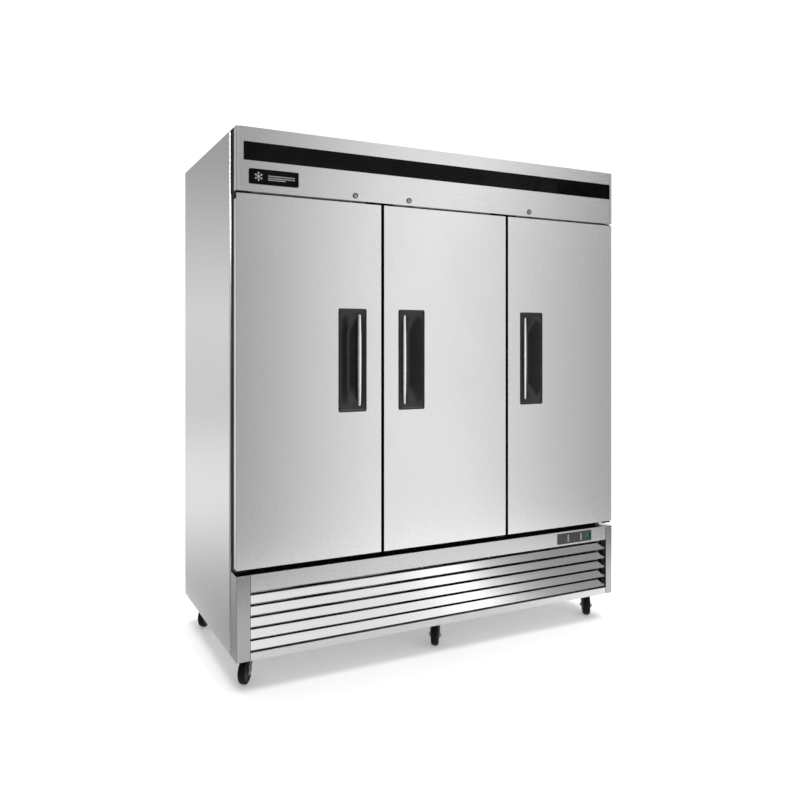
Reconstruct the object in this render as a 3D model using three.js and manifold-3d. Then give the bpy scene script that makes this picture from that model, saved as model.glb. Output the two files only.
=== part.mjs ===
// Three-section reach-in refrigerator on casters. Millimetres, +Z up, doors face -Y.
// The origin is on the floor under the middle of the cabinet.
import * as THREE from 'three';
import { mergeVertices } from 'three/addons/utils/BufferGeometryUtils.js';
import Module from 'manifold-3d';

const wasm = await Module();
wasm.setup();

// ---- driving dimensions ----
const cabinetWidth = 1880;
const cabinetDepth = 750;
const cabinetTop = 2108;
const cabinetBottom = 120;
const sheet = 1.5;
const clearance = 0.3;

const doorGap = 14;
const doorDepth = 55;
const doorBottom = 461;
const doorTop = 1859;
const doorSideInset = 1;
const openingMargin = 46;

const baseTop = 439;
const headerBottom = 1868;
const trimProud = 3;
const hemWidth = 18;
const frameDepth = 20;
const cavityDepth = 600;
const evaporatorHalfWidth = 420;
const evaporatorCavityTop = 2040;

const hingeInset = 14;
const hingeBehindFace = 18;
const hingePinRadius = 6;
const hingeHoleRadius = 6.6;

const handleWidth = 125;
const handleBottom = 1030;
const handleTop = 1440;
const handleFromEdge = 68;
const gripFromNearEdge = 31;

const lockHeight = 1889;
const lockFromEdge = 118;
const lockBarrelRadius = 10.5;
const lockFlangeRadius = 12;
const lockCamReach = 26.5;
const catchRise = 7;
const catchInset = 60;
const catchDepth = 28;
const plugInset = 62;
const holeDepth = 16;
const gasketInset = 20;
const gasketWidth = 18;

const louvreCount = 5;
const louvrePitch = 43.5;
const louvreBottom = 149;
const louvreTop = 375;
const louvreLineBottom = 8;
const louvreLeft = -883;
const louvreRight = 901;

const shelfHeights = [830, 1150, 1470];
const shelfThickness = 8;
const clipHalf = 12;

const casterWheelRadius = 45;
const casterWheelWidth = 30;
const casterTrail = 42;
const casterTurn = -40;
const casterPlateBottom = 113;
const casterRows = [-262, 296];
const casterColumns = [-852, 20, 888];
const casterPlateHalf = 48;
const casterPlateFront = 31;
const casterPlateRear = 42;
const forkTopRadius = 30;
const cheekThickness = 3;

// ---- sizes that follow ----
const halfWidth = cabinetWidth / 2;
const frontFace = -cabinetDepth / 2 + trimProud;
const rearFace = cabinetDepth / 2;
const cabinetFace = frontFace + 75;
const innerFront = cabinetFace + sheet + clearance;
const frameBack = innerFront + frameDepth;
const foamFront = frameBack + clearance;
const foamHalf = halfWidth - sheet - clearance;
const foamBack = rearFace - sheet - clearance;
const foamTop = cabinetTop - sheet - clearance;
const foamBottom = baseTop + 2;
const cavityHalf = halfWidth - openingMargin + 1;
const cavityBottom = doorBottom + openingMargin - 2;
const cavityTop = doorTop - openingMargin + 2;
const cavityBack = foamFront + cavityDepth;
const doorSpan = cabinetWidth - 2 * doorSideInset;
const doorWidth = (doorSpan - 2 * doorGap) / 3;
const doorBack = frontFace + doorDepth;
const skinFront = frontFace - clearance;

const steel = 0xc9cbcc;
const liner = 0xd8dadb;
const zinc = 0x9a9c9e;
const black = 0x1b1b1c;
const darkGrey = 0x2c2d2f;
const white = 0xe8e8e6;
const green = 0x2ea04a;

const object = new THREE.Group();
object.name = 'reach_in_refrigerator';

// ---- shape helpers ----

// A box between two corners.
function box(x0, x1, y0, y1, z0, z1) {
  const geometry = new THREE.BoxGeometry(x1 - x0, y1 - y0, z1 - z0);
  return geometry.translate((x0 + x1) / 2, (y0 + y1) / 2, (z0 + z1) / 2);
}

function outline(points) {
  return new THREE.Shape(points.map((p) => new THREE.Vector2(p[0], p[1])));
}

// A flat shape swept along one axis. Shape coordinates are (y, z) for x, (x, z) for y, (x, y) for z.
function sweep(shape, axis, from, to) {
  const options = { depth: to - from, bevelEnabled: false, curveSegments: 6 };
  const geometry = new THREE.ExtrudeGeometry(shape, options);
  const turn = new THREE.Matrix4();
  if (axis === 'x') {
    turn.set(0, 0, 1, from, 1, 0, 0, 0, 0, 1, 0, 0, 0, 0, 0, 1);
  } else if (axis === 'y') {
    turn.set(1, 0, 0, 0, 0, 0, -1, to, 0, 1, 0, 0, 0, 0, 0, 1);
  } else {
    turn.set(1, 0, 0, 0, 0, 1, 0, 0, 0, 0, 1, from, 0, 0, 0, 1);
  }
  return geometry.applyMatrix4(turn);
}

function rectangle(u0, u1, v0, v1) {
  return [[u0, v0], [u1, v0], [u1, v1], [u0, v1]];
}

// A rectangle with round corners, as a list of points.
function roundRectangle(u0, u1, v0, v1, radius, steps = 4) {
  const corners = [
    [u1 - radius, v1 - radius, 0],
    [u0 + radius, v1 - radius, 1],
    [u0 + radius, v0 + radius, 2],
    [u1 - radius, v0 + radius, 3],
  ];
  const points = [];
  for (const [u, v, quarter] of corners) {
    for (let i = 0; i <= steps; i += 1) {
      const angle = ((quarter + i / steps) * Math.PI) / 2;
      points.push([u + radius * Math.cos(angle), v + radius * Math.sin(angle)]);
    }
  }
  return points;
}

function circle(u, v, radius, sides) {
  const points = [];
  for (let i = 0; i < sides; i += 1) {
    const angle = (2 * Math.PI * i) / sides;
    points.push([u + radius * Math.cos(angle), v + radius * Math.sin(angle)]);
  }
  return points;
}

// A round bar or disc along one axis; (u, v) is its centre as for sweep.
function rod(axis, u, v, radius, from, to, sides = 24) {
  return sweep(outline(circle(u, v, radius, sides)), axis, from, to);
}

// A solid turned about +Z from (radius, height) pairs.
function turned(profile, x, y, sides) {
  const geometry = new THREE.LatheGeometry(profile.map((p) => new THREE.Vector2(p[0], p[1])), sides);
  return geometry.rotateX(Math.PI / 2).translate(x, y, 0);
}

function toSolid(piece) {
  if (!piece.isBufferGeometry) {
    return piece;
  }
  const bare = piece.clone();
  bare.deleteAttribute('normal');
  bare.deleteAttribute('uv');
  const merged = mergeVertices(bare, 1e-4);
  const corners = merged.index.array;
  const kept = [];
  for (let i = 0; i < corners.length; i += 3) {
    const [a, b, c] = [corners[i], corners[i + 1], corners[i + 2]];
    if (a !== b && b !== c && c !== a) {
      kept.push(a, b, c);
    }
  }
  const mesh = new wasm.Mesh({
    numProp: 3,
    vertProperties: new Float32Array(merged.attributes.position.array),
    triVerts: new Uint32Array(kept),
  });
  return new wasm.Manifold(mesh);
}

function toGeometry(solid) {
  const mesh = solid.getMesh();
  const geometry = new THREE.BufferGeometry();
  geometry.setAttribute('position', new THREE.BufferAttribute(mesh.vertProperties, 3));
  geometry.setIndex(new THREE.BufferAttribute(mesh.triVerts, 1));
  return geometry;
}

// One solid: every piece in `joined` added together, then every one in `cut` taken away.
function shaped(joined, cut = []) {
  let solid = toSolid(joined[0]);
  for (const piece of joined.slice(1)) {
    solid = solid.add(toSolid(piece));
  }
  for (const piece of cut) {
    solid = solid.subtract(toSolid(piece));
  }
  return solid;
}

function plateWithHoles(outer, holes, axis, from, to) {
  const cuts = holes.map((hole) => sweep(outline(hole), axis, from - 1, to + 1));
  return shaped([sweep(outline(outer), axis, from, to)], cuts);
}

function add(name, piece, color, metalness = 0.1, roughness = 0.5) {
  const geometry = piece.isBufferGeometry ? piece : toGeometry(piece);
  const flat = geometry.index ? geometry.toNonIndexed() : geometry;
  flat.computeVertexNormals();
  const material = new THREE.MeshStandardMaterial({ color, metalness, roughness });
  const mesh = new THREE.Mesh(flat, material);
  mesh.name = name;
  object.add(mesh);
}

// ---- the three doors' places, left to right ----
// side is -1 for a door hinged on its left edge and +1 for one hinged on its right edge.
const doors = ['left', 'middle', 'right'].map((name, i) => {
  const x0 = -doorSpan / 2 + i * (doorWidth + doorGap);
  const x1 = x0 + doorWidth;
  const side = i === 0 ? -1 : 1;
  const openEdge = side < 0 ? x1 : x0;
  const hingeEdge = side < 0 ? x0 : x1;
  return { name, x0, x1, side, openEdge, hingeX: hingeEdge - side * hingeInset };
});
const hingeY = frontFace + hingeBehindFace;
const mullionCentres = [doors[0].x1 + doorGap / 2, doors[1].x1 + doorGap / 2];

// ---- outer skins ----
const rearHem = 20;
for (const side of [-1, 1]) {
  const profile = [
    [halfWidth, cabinetFace],
    [halfWidth, rearFace],
    [halfWidth - rearHem, rearFace],
    [halfWidth - rearHem, rearFace - sheet],
    [halfWidth - sheet, rearFace - sheet],
    [halfWidth - sheet, cabinetFace + sheet],
    [halfWidth - hemWidth, cabinetFace + sheet],
    [halfWidth - hemWidth, cabinetFace],
  ].map((p) => [side * p[0], p[1]]);
  const panel = sweep(outline(profile), 'z', cabinetBottom, cabinetTop);
  add(side < 0 ? 'side_panel_left' : 'side_panel_right', panel, steel, 0.9, 0.35);
}
const topPanel = box(-foamHalf, foamHalf, innerFront, foamBack, cabinetTop - sheet, cabinetTop);
add('top_panel', topPanel, steel, 0.9, 0.35);

// The rear panel is slotted over the machine compartment.
const rearHalf = halfWidth - rearHem - clearance;
const rearSlotRows = 6;
const rearSlotCentres = [-560, 0, 560];
const rearSlotHalf = 170;
const rearSlotHeight = 14;
const rearSlotPitch = 38;
const rearSlotBottom = 170;
const rearSlots = [];
for (let row = 0; row < rearSlotRows; row += 1) {
  for (const centre of rearSlotCentres) {
    const z = rearSlotBottom + row * rearSlotPitch;
    rearSlots.push(rectangle(centre - rearSlotHalf, centre + rearSlotHalf, z, z + rearSlotHeight));
  }
}
const rearOuter = rectangle(-rearHalf, rearHalf, cabinetBottom, cabinetTop);
const rearPanel = plateWithHoles(rearOuter, rearSlots, 'y', rearFace - sheet, rearFace);
add('back_panel', rearPanel, zinc, 0.8, 0.5);

// ---- foamed inner body with its shelf strips and clips ----
// The strips are joined to the walls; each carries a clip under every shelf.
function shelfStrips(x0, x1, y0, y1, clipX0, clipX1, clipY0, clipY1) {
  const parts = [box(x0, x1, y0, y1, cavityBottom + 20, cavityTop - 20)];
  for (const z of shelfHeights) {
    parts.push(box(clipX0, clipX1, clipY0, clipY1, z - 5, z - clearance));
  }
  return parts;
}
const wallStrips = [];
for (const side of [-1, 1]) {
  for (const y of [-190, 220]) {
    const wall = side * (cavityHalf + 1);
    const stripFace = side * (cavityHalf - 7);
    const clipFace = side * (cavityHalf - 30);
    const [x0, x1] = [Math.min(wall, stripFace), Math.max(wall, stripFace)];
    const [c0, c1] = [Math.min(wall, clipFace), Math.max(wall, clipFace)];
    wallStrips.push(...shelfStrips(x0, x1, y - clipHalf, y + clipHalf, c0, c1, y - 9, y + 9));
  }
}
for (const x of mullionCentres) {
  const strip = [x - clipHalf, x + clipHalf, cavityBack - 7, cavityBack + 1];
  wallStrips.push(...shelfStrips(...strip, x - 40, x + 40, cavityBack - 34, cavityBack + 1));
}
const foamBlock = box(-foamHalf, foamHalf, foamFront, foamBack, foamBottom, foamTop);
const foodSpace = box(-cavityHalf, cavityHalf, foamFront - 1, cavityBack, cavityBottom, cavityTop);
const evaporatorSpace = box(
  -evaporatorHalfWidth, evaporatorHalfWidth, -190, cavityBack, cavityTop - 1, evaporatorCavityTop,
);
const hollowBody = shaped([foamBlock], [foodSpace, evaporatorSpace]);
add('inner_body', shaped([hollowBody, ...wallStrips]), liner, 0.6, 0.4);

// ---- front frame: three openings, two mullions, front shelf strips ----
const openings = doors.map((door) => rectangle(
  door.x0 + openingMargin, door.x1 - openingMargin, doorBottom + openingMargin, doorTop - openingMargin,
));
const frontFrame = plateWithHoles(
  rectangle(-foamHalf, foamHalf, foamBottom, foamTop), openings, 'y', innerFront, frameBack,
);
const frontStrips = [];
for (const x of mullionCentres) {
  const strip = [x - clipHalf, x + clipHalf, frameBack - 1, frameBack + 8];
  frontStrips.push(...shelfStrips(...strip, x - 40, x + 40, frameBack - 1, frameBack + 34));
}
add('front_frame', shaped([frontFrame, ...frontStrips]), steel, 0.8, 0.4);

// ---- header with its strip and plate ----
const headerHalf = halfWidth - doorSideInset;
const headerShell = box(-headerHalf, headerHalf, frontFace, cabinetFace - 0.6, headerBottom, cabinetTop);
const headerHollow = box(
  -headerHalf + sheet, headerHalf - sheet, frontFace + sheet, cabinetFace, headerBottom + sheet,
  cabinetTop - sheet,
);
const lockXs = doors.map((door) => door.openEdge + door.side * lockFromEdge);
const headerCuts = [headerHollow];
for (const x of lockXs) {
  headerCuts.push(rod('y', x, lockHeight, lockBarrelRadius + 0.5, frontFace - 1, frontFace + 5));
  headerCuts.push(box(x - 8, x + 30, frontFace + 5, frontFace + 14, headerBottom - 1, headerBottom + 5));
}
add('header_panel', shaped([headerShell], headerCuts), steel, 0.9, 0.35);

// The strip across the header has fine ribs along its length.
const stripBottom = cabinetTop - 124;
const stripTop = cabinetTop - 55;
const ribCount = 11;
const ribRoot = 1.2;
const ribProud = 2.5;
const ribPitch = (stripTop - stripBottom) / ribCount;
const ribProfile = [[skinFront, stripTop], [skinFront, stripBottom]];
for (let i = 0; i < ribCount; i += 1) {
  const z = stripBottom + i * ribPitch;
  ribProfile.push([skinFront - ribRoot, z]);
  ribProfile.push([skinFront - ribProud, z + ribPitch * 0.3]);
  ribProfile.push([skinFront - ribProud, z + ribPitch * 0.7]);
}
ribProfile.push([skinFront - ribRoot, stripTop]);
add('header_strip', sweep(outline(ribProfile), 'x', -headerHalf + 29, headerHalf - 15), black, 0, 0.2);
const plateBox = [-890, -688, cabinetTop - 211, cabinetTop - 154];
const plateThickness = 2;
const plateOutline = roundRectangle(...plateBox, 6);
add('plain_plate', sweep(outline(plateOutline), 'y', skinFront - plateThickness, skinFront), black, 0, 0.25);

// ---- lock cylinders: flange, barrel, cam and key slot ----
// Turned a quarter, the cam hangs in front of the catch along the door's top.
doors.forEach((door, i) => {
  const x = lockXs[i];
  const z = lockHeight;
  const lock = shaped(
    [
      rod('y', x, z, lockFlangeRadius, skinFront - 2.2, skinFront),
      rod('y', x, z, lockBarrelRadius, skinFront - 1, frontFace + 12),
      box(x - 5, x + lockCamReach, frontFace + 8, frontFace + 11, z - 5, z + 5),
    ],
    [box(x - 1.2, x + 1.2, skinFront - 3, skinFront - 0.8, z - 5, z + 5)],
  );
  add(`lock_${door.name}`, lock, zinc, 0.9, 0.3);
});

// ---- hinge brackets: plate, wall tab and pin ----
const hingeArmHalf = 12;
const hingeArmReach = 34;
function hingeBracket(door, plateZ0, plateZ1, tabZ0, tabZ1, pinZ0, pinZ1) {
  const x0 = door.hingeX - (door.side < 0 ? hingeArmHalf : hingeArmReach);
  const x1 = door.hingeX + (door.side < 0 ? hingeArmReach : hingeArmHalf);
  return shaped([
    box(x0, x1, hingeY - hingeArmHalf, cabinetFace - clearance, plateZ0, plateZ1),
    box(x0, x1, cabinetFace - 3, cabinetFace - clearance, tabZ0, tabZ1),
    rod('z', door.hingeX, hingeY, hingePinRadius, pinZ0, pinZ1),
  ]);
}

// ---- doors: foamed leaf, gasket and handle ----
for (const door of doors) {
  const { x0, x1, side, openEdge, hingeX, name } = door;
  const handleNear = openEdge + side * handleFromEdge;
  const handleFar = handleNear + side * handleWidth;
  const [h0, h1] = [Math.min(handleNear, handleFar), Math.max(handleNear, handleFar)];
  const pocket = roundRectangle(h0 + 4, h1 - 4, handleBottom + 4, handleTop - 4, 8);
  const innerPlug = box(
    x0 + plugInset, x1 - plugInset, doorBack - 1, doorBack + 8, doorBottom + plugInset, doorTop - plugInset,
  );
  const topCatch = box(
    x0 + catchInset, x1 - catchInset, doorBack - catchDepth, doorBack, doorTop - 1, doorTop + catchRise,
  );
  const leaf = shaped(
    [box(x0, x1, frontFace, doorBack, doorBottom, doorTop), innerPlug, topCatch],
    [
      sweep(outline(pocket), 'y', frontFace - 1, frontFace + 40),
      rod('z', hingeX, hingeY, hingeHoleRadius, doorBottom - 1, doorBottom + holeDepth),
      rod('z', hingeX, hingeY, hingeHoleRadius, doorTop - holeDepth, doorTop + 1),
    ],
  );
  add(`door_${name}`, leaf, steel, 0.9, 0.35);

  const outer = gasketInset;
  const inner = gasketInset + gasketWidth;
  const seal = plateWithHoles(
    rectangle(x0 + outer, x1 - outer, doorBottom + outer, doorTop - outer),
    [rectangle(x0 + inner, x1 - inner, doorBottom + inner, doorTop - inner)],
    'y', doorBack + clearance, innerFront - 0.5,
  );
  add(`gasket_${name}`, seal, darkGrey, 0, 0.8);

  // The handle is a tray with a raised rim and an upright grip that is fullest at mid height.
  const tray = outline(roundRectangle(h0 + 4.4, h1 - 4.4, handleBottom + 4.4, handleTop - 4.4, 7.6));
  const rim = outline(roundRectangle(h0, h1, handleBottom, handleTop, 8));
  const scoop = outline(roundRectangle(h0 + 10, h1 - 10, handleBottom + 12, handleTop - 12, 14));
  const gripX = handleNear + side * gripFromNearEdge;
  const gripMiddle = (handleTop + handleBottom) / 2;
  const gripHalf = (handleTop - handleBottom) / 2 - 8;
  const gripSides = 10;
  const gripProfile = [[0, -gripHalf]];
  for (let i = 0; i <= gripSides; i += 1) {
    const along = -1 + (2 * i) / gripSides;
    gripProfile.push([6 + 7 * Math.cos((along * Math.PI) / 2), along * gripHalf]);
  }
  gripProfile.push([0, gripHalf]);
  const grip = turned(gripProfile, gripX, frontFace + 12, 14).translate(0, 0, gripMiddle);
  const handle = shaped([
    shaped(
      [sweep(tray, 'y', skinFront - 1, frontFace + 39.6), sweep(rim, 'y', -cabinetDepth / 2, skinFront)],
      [sweep(scoop, 'y', -cabinetDepth / 2 - 1, frontFace + 36)],
    ),
    grip,
  ]);
  add(`handle_${name}`, handle, darkGrey, 0, 0.3);

  const topPlate = [doorTop + 3, doorTop + 6.5];
  const lowPlate = [doorBottom - 9, doorBottom - 4];
  add(
    `hinge_upper_${name}`,
    hingeBracket(door, ...topPlate, doorTop - 16, doorTop + 4, doorTop - 13, doorTop + 4),
    zinc, 0.9, 0.4,
  );
  add(
    `hinge_lower_${name}`,
    hingeBracket(door, ...lowPlate, doorBottom - 6, doorBottom + 16, doorBottom - 6, doorBottom + 13),
    zinc, 0.9, 0.4,
  );
}

// ---- wire shelves: a flat grid with long slots, one plate thick ----
const shelfFront = frameBack + 12;
const shelfBack = cavityBack - 10;
const slotCount = 18;
const rail = 7;
const shelfEdges = [
  [-cavityHalf + 10, mullionCentres[0] - 8],
  [mullionCentres[0] + 8, mullionCentres[1] - 8],
  [mullionCentres[1] + 8, cavityHalf - 10],
];
doors.forEach((door, i) => {
  const [x0, x1] = shelfEdges[i];
  const pitch = (x1 - x0 - rail) / slotCount;
  shelfHeights.forEach((z, level) => {
    const slots = [];
    for (let n = 0; n < slotCount; n += 1) {
      const u = x0 + rail + n * pitch;
      slots.push(rectangle(u, u + pitch - rail, shelfFront + rail, shelfBack - rail));
    }
    const outer = rectangle(x0, x1, shelfFront, shelfBack);
    const shelf = plateWithHoles(outer, slots, 'z', z, z + shelfThickness);
    add(`shelf_${door.name}_${level + 1}`, shelf, white, 0, 0.4);
  });
});

// ---- bottom pan with edge flanges, cross channels and the caster plates ----
const panHalf = halfWidth - sheet - clearance;
const panFront = cabinetFace + sheet + clearance;
const panBack = rearFace - sheet - clearance;
const casterPlaces = [];
for (const x of casterColumns) {
  for (const y of casterRows) {
    casterPlaces.push([x, y]);
  }
}
const casterNames = ['left_front', 'left_rear', 'middle_front', 'middle_rear', 'right_front', 'right_rear'];
const panFloor = cabinetBottom + 3;
const panRim = cabinetBottom + 25;
const panBlock = box(-panHalf, panHalf, panFront, panBack, cabinetBottom, foamBottom - clearance);
const panHollow = box(-panHalf + 3, panHalf - 3, panFront + 3, panBack - 3, panFloor, foamBottom);
const panWindow = box(-panHalf + 3, panHalf - 3, panFront - 1, panBack + 1, panRim, foamBottom);
const pan = shaped([panBlock], [panHollow, panWindow]);
const casterPlates = casterPlaces.map(
  ([x, y]) => box(
    x - casterPlateHalf, x + casterPlateHalf, y - casterPlateFront, y + casterPlateRear,
    casterPlateBottom, cabinetBottom + 1,
  ),
);
add('bottom_pan', shaped([pan, ...casterPlates]), zinc, 0.8, 0.5);

// ---- casters: forked swivel head and wheel; the wheel trails beside the swivel axis ----
// Each is shaped about its own swivel axis with the wheel towards -Y, then turned and put in place.
const cheekGap = casterWheelWidth / 2 + 2;
const wheelY = -casterTrail;
const cheek = [
  [-24, casterPlateBottom - 8],
  [24, casterPlateBottom - 8],
  [wheelY + 13, casterWheelRadius - 2],
  [wheelY + 8, casterWheelRadius - 11],
  [wheelY - 8, casterWheelRadius - 11],
  [wheelY - 13, casterWheelRadius - 2],
];
const turnAngle = (casterTurn * Math.PI) / 180;
casterPlaces.forEach(([x, y], i) => {
  const headWidth = cheekGap + cheekThickness;
  const axleEnd = cheekGap + 7;
  const parts = [
    rod('z', 0, 0, forkTopRadius, casterPlateBottom - 8, casterPlateBottom - clearance, 24),
    box(-headWidth, headWidth, -24, 24, casterPlateBottom - 11, casterPlateBottom - 7),
    rod('x', wheelY, casterWheelRadius, 5.5, -axleEnd, axleEnd, 16),
    sweep(outline(cheek), 'x', cheekGap, headWidth),
    sweep(outline(cheek), 'x', -headWidth, -cheekGap),
  ];
  const fork = toGeometry(shaped(parts));
  add(`caster_fork_${casterNames[i]}`, fork.rotateZ(turnAngle).translate(x, y, 0), zinc, 0.9, 0.4);

  const r = casterWheelRadius;
  const h = casterWheelWidth / 2;
  const ring = [
    [5.9, -h], [14, -h], [r - 11, -h + 4], [r - 7, -h], [r, -h + 5],
    [r, h - 5], [r - 7, h], [r - 11, h - 4], [14, h], [5.9, h], [5.9, -h],
  ];
  const wheel = new THREE.LatheGeometry(ring.map((p) => new THREE.Vector2(p[0], p[1])), 28);
  wheel.rotateZ(-Math.PI / 2).translate(0, wheelY, r).rotateZ(turnAngle).translate(x, y, 0);
  add(`caster_wheel_${casterNames[i]}`, wheel, black, 0, 0.7);
});

// ---- base panel in front of the machine compartment ----
const baseHalf = halfWidth - doorSideInset;
const controllerBox = [605, 810, 383, 431];
const rockerFromLeft = 178;
const rockerWellHalf = 19;
const [c0, c1, c2, c3] = controllerBox;
const baseShell = box(-baseHalf, baseHalf, frontFace, cabinetFace - 0.6, cabinetBottom, baseTop);
const baseHollow = box(
  -baseHalf + sheet, baseHalf - sheet, frontFace + sheet, cabinetFace,
  cabinetBottom + sheet, baseTop - sheet,
);
const louvreWindow = box(louvreLeft, louvreRight, frontFace - 1, frontFace + 5, louvreBottom, louvreTop);
const controllerCut = box(c0 + 5, c1 - 5, frontFace - 1, frontFace + 5, c2 + 5, c3 - 5);
add('base_panel', shaped([baseShell], [baseHollow, louvreWindow, controllerCut]), steel, 0.9, 0.35);

// ---- louvres: sloping slats with lips, carried by upright brackets; open between the slats ----
const slatX = [louvreLeft + 1, louvreRight - 1];
const slatRise = 27;
const endSlope = 26;
const slatParts = [];
const slatCuts = [];
for (let i = 0; i < louvreCount; i += 1) {
  const z = louvreBottom + louvreLineBottom + i * louvrePitch;
  const slat = [
    [frontFace + 2, z],
    [frontFace + 15, z],
    [frontFace + 15, z + 2],
    [frontFace + 5.2, z + 2],
    [frontFace + 21.4, z + slatRise - 2],
    [frontFace + 32, z + slatRise - 2],
    [frontFace + 32, z + slatRise],
    [frontFace + 21, z + slatRise],
  ];
  slatParts.push(sweep(outline(slat), 'x', ...slatX));
  const endCut = [
    [slatX[1] + 1, z + 3],
    [slatX[1] + 1, z + slatRise + 1],
    [slatX[1] - endSlope, z + slatRise + 1],
  ];
  slatCuts.push(sweep(outline(endCut), 'y', frontFace, frontFace + 40));
}
const slatBrackets = [slatX[0] + 1, -1, slatX[1] - 3].map(
  (x) => box(x, x + 2, frontFace + 14, frontFace + 34, louvreBottom + 1, louvreTop - 1),
);
add('louvre_panel', shaped([shaped(slatParts, slatCuts), ...slatBrackets]), steel, 0.9, 0.35);

// ---- controller: rim, body behind the panel, display recess and the rocker's well ----
const rockerX = c0 + rockerFromLeft;
const rockerZ = (c2 + c3) / 2;
const controller = shaped(
  [
    sweep(outline(roundRectangle(c0, c1, c2, c3, 4)), 'y', skinFront - 2, skinFront),
    box(c0 + 5.5, c1 - 5.5, skinFront - 1, frontFace + 38, c2 + 5.5, c3 - 5.5),
  ],
  [
    box(c0 + 58, c0 + 146, skinFront - 3, skinFront - 0.8, c2 + 8, c3 - 8),
    box(
      rockerX - rockerWellHalf, rockerX + rockerWellHalf, skinFront - 3, frontFace + 18,
      rockerZ - 12, rockerZ + 12,
    ),
  ],
);
add('controller', controller, black, 0, 0.4);
const rockerY = frontFace + 8;
const rockerTilt = (7 * Math.PI) / 180;
const rockerShape = [
  [-17.4, rockerY + 6],
  [17.4, rockerY + 6],
  [17.4, rockerY - 8.8],
  [0, rockerY - 6.8],
  [-17.4, rockerY - 8.8],
].map(([x, y]) => {
  const dy = y - rockerY;
  const turnedX = x * Math.cos(rockerTilt) - dy * Math.sin(rockerTilt);
  const turnedY = x * Math.sin(rockerTilt) + dy * Math.cos(rockerTilt);
  return [rockerX + turnedX, rockerY + turnedY];
});
add('power_switch', sweep(outline(rockerShape), 'z', rockerZ - 11.4, rockerZ + 11.4), green, 0, 0.3);

// ---- machine compartment ----
const floorTop = cabinetBottom + 3 + clearance;
const compressorX = 470;
const compressorY = 120;
const compressorFeet = [];
for (const side of [-1, 1]) {
  const footX = compressorX + side * 70;
  const footY = [compressorY - 95, compressorY + 95];
  compressorFeet.push(box(footX - 18, footX + 18, ...footY, floorTop, floorTop + 14));
}
const can = turned(
  [[0, 0], [70, 0], [88, 14], [94, 40], [94, 120], [86, 165], [60, 192], [24, 202], [0, 203]],
  compressorX, compressorY, 28,
).translate(0, 0, floorTop + 10);
const terminalBox = box(compressorX - 128, compressorX - 80, compressorY - 34, compressorY + 34, 200, 270);
const suction = rod('z', compressorX + 40, compressorY + 30, 6, 290, 395, 12);
add('compressor', shaped([can, ...compressorFeet, terminalBox, suction]), black, 0.3, 0.5);

const coilX = [-40, 330];
const coilY = [-240, -150];
const coilZ = [floorTop, 400];
const coilParts = [
  box(coilX[0], coilX[0] + 6, ...coilY, ...coilZ),
  box(coilX[1] - 6, coilX[1], ...coilY, ...coilZ),
  box(...coilX, -236, -154, coilZ[0], coilZ[0] + 8),
  box(...coilX, -236, -154, coilZ[1] - 8, coilZ[1]),
];
const finCount = 26;
for (let i = 1; i < finCount; i += 1) {
  const x = coilX[0] + (i * (coilX[1] - coilX[0])) / finCount;
  coilParts.push(box(x - 1, x + 1, -232, -158, coilZ[0] + 4, coilZ[1] - 4));
}
for (let i = 0; i < 4; i += 1) {
  const z = coilZ[0] + 24 + i * 62;
  coilParts.push(box(coilX[0] - 9, coilX[0] + 1, -199, -191, z, z + 40));
  coilParts.push(box(coilX[1] - 1, coilX[1] + 9, -199, -191, z + 6, z + 46));
}
add('condenser_coil', shaped(coilParts), zinc, 0.7, 0.5);

const fanX = (coilX[0] + coilX[1]) / 2;
const fanZ = (coilZ[0] + coilZ[1]) / 2;
const shroud = shaped(
  [
    box(coilX[0], coilX[1], -149.5, -146, ...coilZ),
    rod('y', fanX, fanZ, 122, -147, -120, 36),
    box(coilX[0], coilX[1], -149.5, -60, coilZ[0], coilZ[0] + 3),
  ],
  [rod('y', fanX, fanZ, 118, -152, -119, 36)],
);
const motorMount = [
  box(fanX - 12, fanX + 12, -95, -92, coilZ[0] + 1, fanZ),
  rod('y', fanX, fanZ, 38, -95, -62, 24),
  rod('y', fanX, fanZ, 4.5, -139, -94, 12),
];
add('fan_shroud', shaped([shroud, ...motorMount]), darkGrey, 0.3, 0.6);

// A fan of pitched blades about +Y, its hub bored for the motor shaft.
function fanWheel(radius, hubRadius, boreRadius, depth, blades) {
  const parts = [rod('y', 0, 0, hubRadius, -depth / 2, depth / 2, 24)];
  for (let i = 0; i < blades; i += 1) {
    const blade = new THREE.BoxGeometry(radius - hubRadius + 6, 2.4, radius * 0.55);
    blade.rotateX(0.42);
    blade.translate((radius + hubRadius) / 2 - 5, 0, 0);
    blade.rotateY((2 * Math.PI * i) / blades);
    parts.push(blade);
  }
  return toGeometry(shaped(parts, [rod('y', 0, 0, boreRadius, -depth, depth, 12)]));
}
const condenserFan = fanWheel(108, 30, 5, 26, 5).translate(fanX, -124, fanZ);
add('condenser_fan', condenserFan, darkGrey, 0.2, 0.5);

// ---- evaporator above the food space: coil, cover with a fan opening, fan ----
const evapZ = [1880, 2010];
const evapParts = [
  box(-330, -324, 60, 300, ...evapZ),
  box(324, 330, 60, 300, ...evapZ),
  box(-330, 330, 66, 294, evapZ[1] - 5, evapZ[1]),
];
const evapFins = 24;
for (let i = 1; i < evapFins; i += 1) {
  const x = -327 + (i * 654) / evapFins;
  evapParts.push(box(x - 1, x + 1, 64, 296, evapZ[0] + 4, evapZ[1] - 3));
}
for (let i = 0; i < 3; i += 1) {
  const y = 90 + i * 70;
  evapParts.push(box(-338, -329, y, y + 40, 1936, 1944));
  evapParts.push(box(329, 338, y - 6, y + 34, 1936, 1944));
}
for (const x of [-327, 327]) {
  for (const y of [100, 230]) {
    const hangerTop = evaporatorCavityTop - clearance;
    evapParts.push(box(x - 3, x + 3, y, y + 30, evapZ[1] - 1, hangerTop));
  }
}
add('evaporator_coil', shaped(evapParts), zinc, 0.8, 0.4);

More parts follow.
